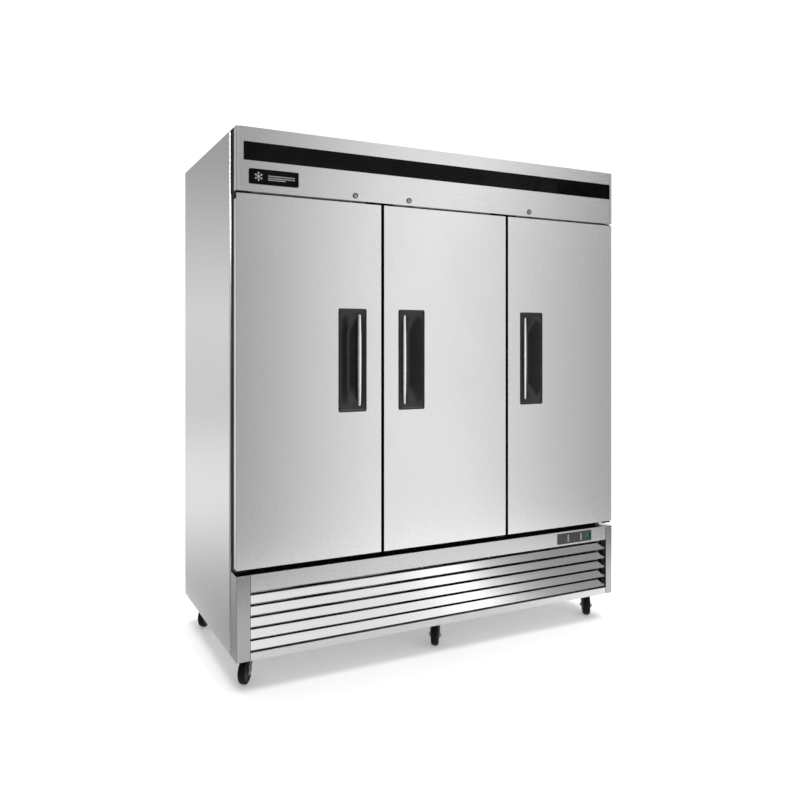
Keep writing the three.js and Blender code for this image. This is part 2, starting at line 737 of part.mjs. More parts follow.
const coverOutline = rectangle(-455, 455, -225, cavityBack - 10);
const coverHoles = [circle(0, -70, 100, 28)];
for (let i = 0; i < 7; i += 1) {
  coverHoles.push(rectangle(-300, 300, 120 + i * 24, 130 + i * 24));
}
const coverPlate = plateWithHoles(coverOutline, coverHoles, 'z', cavityTop - 3.3, cavityTop - clearance);
const coverRing = shaped(
  [rod('z', 0, -70, 104, cavityTop - 16, cavityTop - 1, 28)],
  [rod('z', 0, -70, 100, cavityTop - 20, cavityTop + 1, 28)],
);
const coverArms = [
  box(-102, 102, -76, -64, cavityTop - 16, cavityTop - 13),
  rod('z', 0, -70, 30, cavityTop - 16, cavityTop - 4, 24),
  rod('z', 0, -70, 4.5, cavityTop - 5, cavityTop + 30, 12),
];
add('evaporator_cover', shaped([coverPlate, coverRing, ...coverArms]), liner, 0.5, 0.4);
const evaporatorFan = fanWheel(90, 26, 5, 22, 5);
evaporatorFan.rotateX(Math.PI / 2).translate(0, -70, cavityTop + 15);
add('evaporator_fan', evaporatorFan, darkGrey, 0.2, 0.5);

export default object;
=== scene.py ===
import math
import bpy
import bmesh
from mathutils import Matrix, Vector


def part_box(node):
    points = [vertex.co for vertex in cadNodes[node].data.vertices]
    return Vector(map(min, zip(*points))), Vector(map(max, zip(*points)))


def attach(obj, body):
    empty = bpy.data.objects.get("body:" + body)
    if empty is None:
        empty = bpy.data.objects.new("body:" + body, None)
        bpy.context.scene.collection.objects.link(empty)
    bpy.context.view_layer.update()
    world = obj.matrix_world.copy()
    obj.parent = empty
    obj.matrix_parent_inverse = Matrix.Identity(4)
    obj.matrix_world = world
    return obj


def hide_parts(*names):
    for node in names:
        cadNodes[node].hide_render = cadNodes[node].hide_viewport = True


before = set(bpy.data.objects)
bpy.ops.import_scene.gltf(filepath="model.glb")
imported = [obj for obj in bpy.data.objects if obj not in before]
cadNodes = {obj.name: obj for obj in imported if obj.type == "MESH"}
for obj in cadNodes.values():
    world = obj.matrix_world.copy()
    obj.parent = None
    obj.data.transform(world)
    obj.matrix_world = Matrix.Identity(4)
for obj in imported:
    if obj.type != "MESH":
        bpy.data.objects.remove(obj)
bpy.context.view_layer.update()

scene = bpy.context.scene
print("loaded the cabinet with", len(cadNodes), "nodes")

doorNames = ["left", "middle", "right"]
doorSide = {"left": -1, "middle": 1, "right": 1}      # the side each door is hinged on
casterNames = ["left_front", "left_rear", "middle_front", "middle_rear", "right_front", "right_rear"]


def newMaterial(name, color, metallic, roughness):
    material = bpy.data.materials.new(name)
    material.use_nodes = True
    shader = material.node_tree.nodes["Principled BSDF"]
    shader.inputs["Base Color"].default_value = (*color, 1)
    shader.inputs["Metallic"].default_value = metallic
    shader.inputs["Roughness"].default_value = roughness
    return material, shader


def mappedCoords(tree, scale):
    coords = tree.nodes.new("ShaderNodeTexCoord")
    mapping = tree.nodes.new("ShaderNodeMapping")
    mapping.inputs["Scale"].default_value = scale
    tree.links.new(coords.outputs["Object"], mapping.inputs["Vector"])
    return mapping.outputs["Vector"]


def noiseValue(tree, scale, size=1.0, detail=3.0, distortion=0.0):
    noise = tree.nodes.new("ShaderNodeTexNoise")
    noise.inputs["Scale"].default_value = size
    noise.inputs["Detail"].default_value = detail
    noise.inputs["Distortion"].default_value = distortion
    tree.links.new(mappedCoords(tree, scale), noise.inputs["Vector"])
    return noise.outputs["Fac"]


def spread(tree, value, low, high, fromLow=0.3, fromHigh=0.7):
    ranged = tree.nodes.new("ShaderNodeMapRange")
    ranged.inputs["From Min"].default_value = fromLow
    ranged.inputs["From Max"].default_value = fromHigh
    ranged.inputs["To Min"].default_value = low
    ranged.inputs["To Max"].default_value = high
    tree.links.new(value, ranged.inputs["Value"])
    return ranged.outputs["Result"]


def combine(tree, operation, a, b):
    result = tree.nodes.new("ShaderNodeMath")
    result.operation = operation
    tree.links.new(a, result.inputs[0])
    tree.links.new(b, result.inputs[1])
    return result.outputs[0]


def colorBetween(tree, value, low, high):
    ramp = tree.nodes.new("ShaderNodeValToRGB")
    ramp.color_ramp.elements[0].position = 0.3
    ramp.color_ramp.elements[0].color = (*low, 1)
    ramp.color_ramp.elements[1].position = 0.7
    ramp.color_ramp.elements[1].color = (*high, 1)
    tree.links.new(value, ramp.inputs["Fac"])
    return ramp.outputs["Color"]


def bumpFrom(tree, value, strength, distance, shader):
    bump = tree.nodes.new("ShaderNodeBump")
    bump.inputs["Strength"].default_value = strength
    bump.inputs["Distance"].default_value = distance
    tree.links.new(value, bump.inputs["Height"])
    tree.links.new(bump.outputs["Normal"], shader.inputs["Normal"])


steelLook = {
    "tone": (0.80, 0.803, 0.806),
    "shade": (0.787, 0.79, 0.795),
    "roughness": (0.265, 0.285),
    "cloud": 0.008,
    "grainAcross": 1500,
    "grainAlong": 8,
    "grainDepth": 0.0000025,
}
headerLook = dict(steelLook, roughness=(0.23, 0.3), shade=(0.76, 0.764, 0.77))
# the hems' steel is lighter in tone than the sheets: a painted highlight on the folded edges
hemLitLook = dict(steelLook, roughness=(0.4, 0.46), tone=(0.93, 0.93, 0.93))
louvreLook = dict(steelLook, roughness=(0.07, 0.12), shade=(0.7, 0.704, 0.71), grainAlong=5,
                  grainDepth=0.000012)


# Brushed stainless: long fine streaks along one axis, faint cloudy handling marks.
def brushedSteel(name, along, look=steelLook, paintedShadeScale=1.0):
    # a scale below one darkens the whole steel: painted shade
    tone = tuple(c * paintedShadeScale for c in look["tone"])
    shade = tuple(c * paintedShadeScale for c in look["shade"])
    material, shader = newMaterial(name, tone, 1.0, 0.3)
    tree = material.node_tree
    across, length = look["grainAcross"], look["grainAlong"]
    scale = tuple(length if axis == along else across for axis in "xyz")
    streaks = noiseValue(tree, scale, 1.0, 2.0)
    clouds = noiseValue(tree, (3, 3, 3), 1.0, 4.0, 0.4)
    low, high = look["roughness"]
    fine = spread(tree, streaks, low, high)
    soft = spread(tree, clouds, -look["cloud"], look["cloud"])
    tree.links.new(combine(tree, "ADD", fine, soft), shader.inputs["Roughness"])
    tree.links.new(colorBetween(tree, streaks, shade, tone), shader.inputs["Base Color"])
    bumpFrom(tree, streaks, 0.25, look["grainDepth"], shader)
    shader.inputs["Anisotropic"].default_value = 0.35
    return material


# Moulded plastic or rubber: fine pebble grain and a little dust.
def mouldedPlastic(name, color, roughness, grain=900, depth=0.00008, coat=0.0):
    material, shader = newMaterial(name, color, 0.0, roughness)
    tree = material.node_tree
    pebble = noiseValue(tree, (grain, grain, grain), 1.0, 2.0)
    dust = noiseValue(tree, (14, 14, 14), 1.0, 5.0, 0.3)
    lighter = tuple(min(1, c * 1.25 + 0.004) for c in color)
    tree.links.new(colorBetween(tree, dust, color, lighter), shader.inputs["Base Color"])
    tree.links.new(spread(tree, dust, roughness * 0.88, min(1, roughness * 1.15)), shader.inputs["Roughness"])
    bumpFrom(tree, pebble, 0.3, depth, shader)
    shader.inputs["Coat Weight"].default_value = coat
    shader.inputs["Coat Roughness"].default_value = 0.08
    return material


# Cast, stamped or plated metal with mottling and rubbed patches.
def platedMetal(name, color, roughness, mottle=60, depth=0.0001):
    material, shader = newMaterial(name, color, 1.0, roughness)
    tree = material.node_tree
    patches = noiseValue(tree, (mottle, mottle, mottle), 1.0, 5.0, 0.6)
    darker = tuple(c * 0.8 for c in color)
    tree.links.new(colorBetween(tree, patches, darker, color), shader.inputs["Base Color"])
    tree.links.new(spread(tree, patches, roughness * 0.8, roughness * 1.3), shader.inputs["Roughness"])
    bumpFrom(tree, patches, 0.15, depth, shader)
    return material


steelUpright = brushedSteel("steelUpright", "z")
steelAlong = brushedSteel("steelAlong", "x")
# the header, base and base posts are the same steel made darker: painted shade
steelHeaderShaded = brushedSteel("steelHeaderShaded", "x", headerLook, 0.94)
steelBaseShaded = brushedSteel("steelBaseShaded", "x", headerLook, 0.7)
steelPostShaded = brushedSteel("steelPostShaded", "z", steelLook, 0.44)
hemSteelLit = brushedSteel("hemSteelLit", "z", hemLitLook)
steelLouvre = brushedSteel("steelLouvre", "x", louvreLook)
linerMetal = brushedSteel("linerMetal", "z", dict(steelLook, roughness=(0.34, 0.44)))
zincPlate = platedMetal("zincPlate", (0.55, 0.56, 0.58), 0.35)
galvanised = platedMetal("galvanised", (0.62, 0.63, 0.64), 0.45, 25)
chromePlate = platedMetal("chromePlate", (0.72, 0.73, 0.74), 0.14, 40, 0.00003)
copperPipe = platedMetal("copperPipe", (0.72, 0.38, 0.24), 0.3, 50)
finMetal = platedMetal("finMetal", (0.68, 0.69, 0.7), 0.35, 80)
glossBlack = mouldedPlastic("glossBlack", (0.0015, 0.0015, 0.0015), 0.12, 500, 0.00001)
plateBlack = mouldedPlastic("plateBlack", (0.003, 0.003, 0.003), 0.25, 600, 0.00002)
# black for faces in the gaps between parts: painted shade
paintedGapShade = mouldedPlastic("paintedGapShade", (0.002, 0.002, 0.002), 0.5, 600, 0.00004)
hingeBlack = mouldedPlastic("hingeBlack", (0.01, 0.01, 0.011), 0.42, 300, 0.00008)
handlePlastic = mouldedPlastic("handlePlastic", (0.02, 0.02, 0.021), 0.3, 1100, 0.00003)
gripPlastic = mouldedPlastic("gripPlastic", (0.012, 0.012, 0.013), 0.2, 500, 0.00001)
# a near-white metal spindle on the black grip stands in for the grip's highlight: painted highlight
highlightSpindleMetal = platedMetal("highlightSpindleMetal", (0.93, 0.93, 0.94), 0.2, 40, 0.000002)
forkMetal = platedMetal("forkMetal", (0.2, 0.2, 0.21), 0.35, 60, 0.00004)
lockMetal = platedMetal("lockMetal", (0.22, 0.22, 0.23), 0.24, 60, 0.00003)
controlPlastic = mouldedPlastic("controlPlastic", (0.03, 0.031, 0.033), 0.4)
greyPlastic = mouldedPlastic("greyPlastic", (0.42, 0.43, 0.44), 0.4)
whitePlastic = mouldedPlastic("whitePlastic", (0.78, 0.78, 0.77), 0.4)
greenPlastic = mouldedPlastic("greenPlastic", (0.006, 0.13, 0.075), 0.25, 500, 0.00002, 0.2)
gasketRubber = mouldedPlastic("gasketRubber", (0.008, 0.008, 0.009), 0.6, 700)
treadRubber = mouldedPlastic("treadRubber", (0.004, 0.004, 0.0045), 0.5, 300, 0.0001)
blackPaint = mouldedPlastic("blackPaint", (0.012, 0.012, 0.013), 0.3, 120, 0.00012, 0.3)
shelfCoat = mouldedPlastic("shelfCoat", (0.72, 0.72, 0.7), 0.35, 400, 0.00006, 0.2)
displayGlass = mouldedPlastic("displayGlass", (0.012, 0.013, 0.016), 0.08, 200, 0.00001, 0.6)
digitGrey = mouldedPlastic("digitGrey", (0.07, 0.075, 0.08), 0.4)

# the darkest surfaces reflect less, so that they stay black
for dark, level in ((glossBlack, 0.06), (plateBlack, 0.05), (paintedGapShade, 0.08), (treadRubber, 0.12),
                    (hingeBlack, 0.15), (gasketRubber, 0.15), (handlePlastic, 0.4)):
    dark.node_tree.nodes["Principled BSDF"].inputs["Specular IOR Level"].default_value = level
print("materials ready")


def makePiece(name, bm, material, body, smooth=False):
    bmesh.ops.recalc_face_normals(bm, faces=bm.faces)
    mesh = bpy.data.meshes.new(name)
    bm.to_mesh(mesh)
    bm.free()
    mesh.materials.append(material)
    if smooth:
        mesh.shade_smooth()
    piece = bpy.data.objects.new(name, mesh)
    scene.collection.objects.link(piece)
    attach(piece, body)
    return piece


def softenEdges(piece, width, segments=2, angle=35):
    bevel = piece.modifiers.new("edges", "BEVEL")
    bevel.width = width
    bevel.segments = segments
    bevel.limit_method = "ANGLE"
    bevel.angle_limit = math.radians(angle)
    bevel.harden_normals = False
    return piece


def addBox(bm, low, high):
    xs, ys, zs = zip(low, high)
    v = [bm.verts.new((x, y, z)) for x in xs for y in ys for z in zs]
    for face in ((0, 1, 3, 2), (4, 6, 7, 5), (0, 4, 5, 1), (2, 3, 7, 6), (0, 2, 6, 4), (1, 5, 7, 3)):
        bm.faces.new([v[i] for i in face])


# Faces between two matching closed loops.
def bridge(bm, first, second):
    for i in range(len(first)):
        j = (i + 1) % len(first)
        bm.faces.new((first[i], first[j], second[j], second[i]))


# A closed solid between two matching outlines.
def addPrism(bm, frontPoints, backPoints):
    front = [bm.verts.new(point) for point in frontPoints]
    back = [bm.verts.new(point) for point in backPoints]
    bm.faces.new(front)
    bm.faces.new(back[::-1])
    for i in range(len(front)):
        j = (i + 1) % len(front)
        bm.faces.new((front[i], back[i], back[j], front[j]))


# Copies one mesh into another and frees the first.
def merge(bm, part):
    mesh = bpy.data.meshes.new("part")
    part.to_mesh(mesh)
    part.free()
    bm.from_mesh(mesh)
    bpy.data.meshes.remove(mesh)


# A closed body turned about an axis through `centre`, from (radius, height) pairs.
def addTurned(bm, profile, centre, axis="z", sides=32):
    rings = []
    for radius, height in profile:
        ring = []
        for i in range(sides if radius > 1e-7 else 1):
            angle = 2 * math.pi * i / sides
            a, b = radius * math.cos(angle), radius * math.sin(angle)
            offset = {"z": (a, b, height), "y": (a, height, b), "x": (height, a, b)}[axis]
            ring.append(bm.verts.new(Vector(centre) + Vector(offset)))
        rings.append(ring)
    for lower, upper in zip(rings, rings[1:]):
        for i in range(sides):
            j = (i + 1) % sides
            if len(lower) == 1 and len(upper) == 1:
                continue
            if len(lower) == 1:
                bm.faces.new((lower[0], upper[i], upper[j]))
            elif len(upper) == 1:
                bm.faces.new((lower[i], upper[0], lower[j]))
            else:
                bm.faces.new((lower[i], lower[j], upper[j], upper[i]))
    for ring in (rings[0], rings[-1]):
        if len(ring) > 1 and profile[0] != profile[-1]:
            bm.faces.new(ring)
    if profile[0] == profile[-1]:
        bmesh.ops.remove_doubles(bm, verts=rings[0] + rings[-1], dist=1e-7)


# A round bar following points; ends are capped.
def addTube(bm, points, radius, sides=8):
    points = [Vector(p) for p in points]
    rings = []
    side = None
    for i, point in enumerate(points):
        before = points[max(i - 1, 0)]
        after = points[min(i + 1, len(points) - 1)]
        direction = (after - before).normalized()
        if side is None:
            side = direction.orthogonal().normalized()
        side = (side - direction * side.dot(direction)).normalized()
        up = direction.cross(side)
        stretch = 1.0
        if 0 < i < len(points) - 1:
            turn = (point - before).normalized().dot((after - point).normalized())
            stretch = 1 / max(0.5, math.sqrt((1 + turn) / 2))
        ring = []
        for k in range(sides):
            angle = 2 * math.pi * k / sides
            offset = (side * math.cos(angle) + up * math.sin(angle)) * radius * stretch
            ring.append(bm.verts.new(point + offset))
        rings.append(ring)
    for lower, upper in zip(rings, rings[1:]):
        bridge(bm, lower, upper)
    bm.faces.new(rings[0][::-1])
    bm.faces.new(rings[-1])


# Points with every corner rounded.
def roundedPath(points, radius, steps=5):
    points = [Vector(p) for p in points]
    path = [points[0]]
    for before, corner, after in zip(points, points[1:], points[2:]):
        reach = min(radius, (corner - before).length / 2, (after - corner).length / 2)
        start = corner + (before - corner).normalized() * reach
        end = corner + (after - corner).normalized() * reach
        for i in range(steps + 1):
            t = i / steps
            path.append(start.lerp(corner, t).lerp(corner.lerp(end, t), t))
    path.append(points[-1])
    return path


def roundOutline(x0, x1, z0, z1, radius, steps=6):
    points = []
    for cx, cz, quarter in ((x1 - radius, z1 - radius, 0), (x0 + radius, z1 - radius, 1),
                            (x0 + radius, z0 + radius, 2), (x1 - radius, z0 + radius, 3)):
        for i in range(steps + 1):
            angle = (quarter + i / steps) * math.pi / 2
            points.append((cx + radius * math.cos(angle), cz + radius * math.sin(angle)))
    return points


# An upright plate with round corners between two depths.
def addPlate(bm, x0, x1, z0, z1, y0, y1, radius):
    outline = roundOutline(x0, x1, z0, z1, radius)
    addPrism(bm, [(x, y0, z) for x, z in outline], [(x, y1, z) for x, z in outline])


# A pan-head screw with a dished recess, its head facing along `facing`.
def addScrew(bm, place, facing, radius=0.004):
    head = bmesh.new()
    profile = [(0, 0.0012), (radius * 0.25, 0.0014), (radius * 0.3, 0.0022), (radius * 0.7, 0.0019),
               (radius, 0.0006), (radius, 0.0)]
    addTurned(head, profile, (0, 0, 0), "z", 20)
    turn = Vector((0, 0, 1)).rotation_difference(Vector(facing)).to_matrix().to_4x4()
    head.transform(Matrix.Translation(Vector(place)) @ turn)
    merge(bm, head)


def paint(nodeName, material):
    mesh = cadNodes[nodeName].data
    mesh.materials.clear()
    mesh.materials.append(material)


# the start of a CAD node's name, and its material; the rest are dark plastic
nodePaint = [
    (("door_", "side_panel"), steelUpright), (("header_panel",), steelHeaderShaded), (("base_panel",), steelBaseShaded),
    (("top_panel",), steelAlong), (("louvre_panel",), steelLouvre),
    (("back_panel", "bottom_pan"), galvanised), (("inner_body", "evaporator_cover"), linerMetal),
    (("condenser_coil", "evaporator_coil"), finMetal),
    # the front frame is painted black like the gaskets, as painted shade behind the doors' gaps
    (("hinge_",), hingeBlack), (("lock_",), lockMetal), (("front_frame", "gasket"), gasketRubber),
    (("header_strip",), glossBlack), (("plain_plate",), plateBlack), (("controller",), controlPlastic),
    (("power_switch",), greenPlastic), (("compressor",), blackPaint), (("shelf",), shelfCoat),
    (("caster_fork",), forkMetal), (("caster_wheel",), treadRubber),
]
for nodeName in cadNodes:
    matches = [material for starts, material in nodePaint if nodeName.startswith(starts)]
    paint(nodeName, matches[0] if matches else handlePlastic)

edgeWidths = {
    "door_left": 0.0009, "door_middle": 0.0009, "door_right": 0.0009,
    "header_panel": 0.0006, "base_panel": 0.0006, "top_panel": 0.0005, "back_panel": 0.0004,
    "side_panel_left": 0.0006, "side_panel_right": 0.0006, "louvre_panel": 0.0004,
    "plain_plate": 0.0006, "controller": 0.0008, "power_switch": 0.0012,
    "bottom_pan": 0.0006,
}
for nodeName, width in edgeWidths.items():
    softenEdges(cadNodes[nodeName], width)


# Painted shade on chosen faces: the doors' edges and the header's ends are painted black to stand in for the
# shadow in the gaps.
def paintShadeOnFaces(nodeName, wanted, material=paintedGapShade):
    mesh = cadNodes[nodeName].data
    mesh.materials.append(material)
    for face in mesh.polygons:
        if wanted(face):
            face.material_index = len(mesh.materials) - 1


# how far back the doors' edges are painted as shade, and where the header's painted ends start
paintedShadeLook = {"doorDepth": 0.056, "headerEnd": 0.93}
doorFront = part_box("door_left")[0].y
for name in doorNames:
    paintShadeOnFaces("door_" + name, lambda face: (abs(face.normal.x) > 0.9 or abs(face.normal.z) > 0.9)
                and face.center.y < doorFront + paintedShadeLook["doorDepth"])
paintShadeOnFaces("header_panel", lambda face: abs(face.normal.x) > 0.9
            and abs(face.center.x) > paintedShadeLook["headerEnd"])


# The louvres: five sloping slats with turned lips, their right ends cut at a slant, on brackets
# set behind them.
louvreStyle = {"count": 5, "pitch": 0.0435, "firstRise": 0.007, "rise": 0.027, "sheet": 0.002,
               "endSlope": 0.026, "bracketDepth": 0.012}


def buildLouvres():
    low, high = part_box("louvre_panel")
    style = louvreStyle
    front = doorFront
    bm = bmesh.new()
    rise, sheet = style["rise"], style["sheet"]
    profile = [(0.002, 0), (0.015, 0), (0.015, sheet), (0.0052, sheet), (0.0214, rise - sheet),
               (0.032, rise - sheet), (0.032, rise), (0.021, rise)]
    heights = [low.z + style["firstRise"] + i * style["pitch"] for i in range(style["count"])]
    for z in heights:
        ends = []
        for x, slope in ((low.x, 0.0), (high.x, style["endSlope"])):
            end = []
            for py, pz in profile:
                cut = slope * max(0.0, min(1.0, (pz - sheet) / (rise - 2 * sheet)))
                end.append(bm.verts.new((x - cut, front + py, z + pz)))
            ends.append(end)
        bridge(bm, ends[0], ends[1])
        bm.faces.new(ends[0][::-1])
        bm.faces.new(ends[1])
    bmesh.ops.recalc_face_normals(bm, faces=bm.faces)
    for x in (low.x + 0.001, (low.x + high.x) / 2 - 0.001, high.x - 0.003):
        addBox(bm, (x, high.y - style["bracketDepth"], low.z + 0.001),
               (x + sheet, high.y - 0.0005, high.z - 0.001))
    slats = makePiece("louvreSlats", bm, steelLouvre, "cabinet")
    slats.data.materials.append(paintedGapShade)
    # faces turned away or set back are painted black: painted shade between the slats
    for face in slats.data.polygons:
        turnedAway = face.normal.y > 0.2 or face.normal.z < -0.5 or abs(face.normal.x) > 0.9
        if turnedAway or face.center.y > front + 0.0216:
            face.material_index = 1
    softenEdges(slats, 0.0004, 2)
    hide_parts("louvre_panel")
    rivets = bmesh.new()
    rivet = [(0, -0.0016), (0.0016, -0.0012), (0.0024, 0.0), (0.0024, 0.0035)]
    for z in heights:
        addTurned(rivets, rivet, (high.x - 0.0045, front + 0.0062, z + 0.006), "y", 16)
    heads = makePiece("louvreRivets", rivets, chromePlate, "cabinet", smooth=True)


buildLouvres()


# Thin sheets with turned edges: the base's posts and strips, and the header's end caps.
def buildSheets(name, sheets, material, body, proud, bend=0.0012):
    bm = bmesh.new()
    for x0, x1, z0, z1, front in sheets:
        addBox(bm, (x0, front - proud, z0), (x1, front + 0.001, z1))
    piece = makePiece(name, bm, material, body)
    softenEdges(piece, bend, 3)
    return piece


baseStyle = {"seam": 0.0016, "leftPost": 0.056, "rightPost": 0.038, "proud": 0.0018}


def buildBaseSheets():
    low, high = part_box("base_panel")
    slatLow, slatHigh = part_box("louvre_panel")
    seam, proud = baseStyle["seam"], baseStyle["proud"]
    leftEdge, rightEdge = low.x + baseStyle["leftPost"], high.x - baseStyle["rightPost"]
    windowBottom, windowTop = slatLow.z - 0.001, slatHigh.z + 0.001
    posts = [(low.x, leftEdge - seam, low.z, high.z, low.y),
             (rightEdge + seam, high.x, low.z, high.z, low.y)]
    buildSheets("basePosts", posts, steelPostShaded, "cabinet", proud)
    # black strips flush in the seams beside the posts: painted shade
    seamShades = [(leftEdge - seam, leftEdge, low.z, high.z, low.y),
               (rightEdge, rightEdge + seam, low.z, high.z, low.y)]
    buildSheets("baseSeamShade", seamShades, paintedGapShade, "cabinet", 0.0002, 0.0001)
    controlLow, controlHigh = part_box("controller")
    top = windowTop + 0.001
    strips = [(leftEdge, rightEdge, low.z, windowBottom - 0.001, low.y),
              (leftEdge, controlLow.x + 0.004, top, high.z, low.y),
              (controlHigh.x - 0.004, rightEdge, top, high.z, low.y),
              (controlLow.x + 0.004, controlHigh.x - 0.004, controlHigh.z - 0.004, high.z, low.y)]
    buildSheets("baseStrips", strips, steelBaseShaded, "cabinet", 0.0006, 0.0003)


capStyle = {"width": 0.012, "proud": 0.0016}


def buildHeaderCaps():
    low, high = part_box("header_panel")
    width = capStyle["width"]
    caps = [(low.x, low.x + width, low.z, high.z, low.y), (high.x - width, high.x, low.z, high.z, low.y)]
    buildSheets("headerEndCaps", caps, steelUpright, "cabinet", capStyle["proud"])


# The side panels' folded front edges.
hemStyle = {"bead": 0.0055, "inset": 0.0035, "proud": 0.0005, "endGap": 0.004}


def buildSideHems():
    for side in ("left", "right"):
        low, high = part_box("side_panel_" + side)
        x = low.x + hemStyle["inset"] if side == "left" else high.x - hemStyle["inset"]
        y = low.y - hemStyle["proud"]
        bm = bmesh.new()
        gap = hemStyle["endGap"]
        addTube(bm, [(x, y, low.z + gap), (x, y, high.z - gap)], hemStyle["bead"], 16)
        # the lighter hem steel is a painted highlight
        hem = makePiece(side + "SideHem", bm, hemSteelLit, "cabinet", smooth=True)


# The skins turn back a little way round the outer doors' and the header's ends.
returnStyle = {"wide": 0.026, "thick": 0.0005, "inset": 0.0012, "hingeGap": 0.004}


def buildReturns():
    thick, inset = returnStyle["thick"], returnStyle["inset"]
    for nodeName, body, sides in (("door_left", "door_left", (-1,)), ("door_right", "door_right", (1,)),
                                  ("header_panel", "cabinet", (-1, 1))):
        low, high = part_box(nodeName)
        top = high.z - inset
        if body != "cabinet":
            # stop under the upper hinge, which the door's end passes as it opens
            top = min(top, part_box(body.replace("door", "hinge_upper"))[0].z - returnStyle["hingeGap"])
        bm = bmesh.new()
        for side in sides:
            x = low.x if side < 0 else high.x
            outer = x + side * thick
            addBox(bm, (min(x, outer), low.y + inset, low.z + inset),
                   (max(x, outer), low.y + returnStyle["wide"], top))
        # the returns use the lighter hem steel: painted highlight
        edge = makePiece(nodeName + "Return", bm, hemSteelLit, body)


# Screws round the back panel and along the top panel.
screwStyle = {"pitch": 0.31, "inset": 0.03, "radius": 0.0045}


def evenly(low, high, pitch):
    count = max(2, round((high - low) / pitch) + 1)
    return [low + (high - low) * i / (count - 1) for i in range(count)]


def buildScrews():
    inset, radius = screwStyle["inset"], screwStyle["radius"]
    low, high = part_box("back_panel")
    bm = bmesh.new()
    for z in evenly(low.z + inset, high.z - inset, screwStyle["pitch"]):
        for x in (low.x + inset, high.x - inset):
            addScrew(bm, (x, high.y, z), (0, 1, 0), radius)
    for x in evenly(low.x + inset, high.x - inset, screwStyle["pitch"])[1:-1]:
        for z in (low.z + inset * 0.5, high.z - inset):
            addScrew(bm, (x, high.y, z), (0, 1, 0), radius)
    makePiece("backScrews", bm, zincPlate, "cabinet", smooth=True)
    low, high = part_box("top_panel")
    bm = bmesh.new()
    for x in evenly(low.x + inset, high.x - inset, screwStyle["pitch"]):
        for y in (low.y + inset, high.y - inset):
            addScrew(bm, (x, y, high.z - 0.0008), (0, 0, 1), radius)
    makePiece("topScrews", bm, zincPlate, "cabinet", smooth=True)


# The condensing unit's pipes: one from the compressor to the coil, one from the coil up to the inner body.
pipeStyle = {"radius": 0.0048, "bend": 0.03, "upper": 0.36, "lower": 0.16, "backY": 0.25, "riserX": 0.1,
             "riserTop": 0.43}


def buildPipes():
    canLow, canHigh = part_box("compressor")
    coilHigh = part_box("condenser_coil")[1]
    radius, bend = pipeStyle["radius"], pipeStyle["bend"]
    x, y = (canLow.x + canHigh.x) / 2 - 0.06, (canLow.y + canHigh.y) / 2 - 0.02
    coilEnd, upper, lower = coilHigh.x - 0.002, pipeStyle["upper"], pipeStyle["lower"]
    backY, riserX = pipeStyle["backY"], pipeStyle["riserX"]
    bm = bmesh.new()
    lines = [
        [(x, y, canHigh.z - 0.13), (x, y, upper), (coilHigh.x + 0.02, y, upper),
         (coilHigh.x + 0.02, coilHigh.y - 0.04, upper), (coilEnd, coilHigh.y - 0.04, upper)],
        [(coilEnd, coilHigh.y - 0.05, lower), (coilHigh.x + 0.035, coilHigh.y - 0.05, lower),
         (coilHigh.x + 0.035, backY, lower), (riserX, backY, lower), (riserX, backY, pipeStyle["riserTop"])],
    ]
    for line in lines:
        addTube(bm, roundedPath(line, bend), radius, 12)
    makePiece("coolantPipes", bm, copperPipe, "cabinet", smooth=True)


buildScrews()
buildPipes()
buildBaseSheets()
buildHeaderCaps()
buildSideHems()
buildReturns()
print("sheet metal dressed")

# Handles.

handleStyle = {
    "rimWidth": 0.008,       # flat rim round the tray
    "cornerRadius": 0.006,
    "dishDepth": 0.032,
    "lip": 0.0048,           # width of the step behind the rim
    "gripFromEdge": 0.030,   # grip centre from the rim's opening side
    "barInset": 0.010,       # from the tray's ends to the bars' ends
    "bow": 0.0018,
    "sink": 0.003,           # how far the bars' ends run back
    "grip": {"width": (0.0085, 0.0125), "depth": 0.009, "standOff": 0.0125},
    # the spindle is a painted highlight on the grip
    "highlightSpindle": {"width": (0.0052, 0.009), "depth": 0.0016, "standOff": 0.003},
    "columns": 26,
    "rows": 48,
    "barSides": 20,
}


def easeIn(value):
    value = max(0.0, min(1.0, value))
    return value * value * (3 - 2 * value)


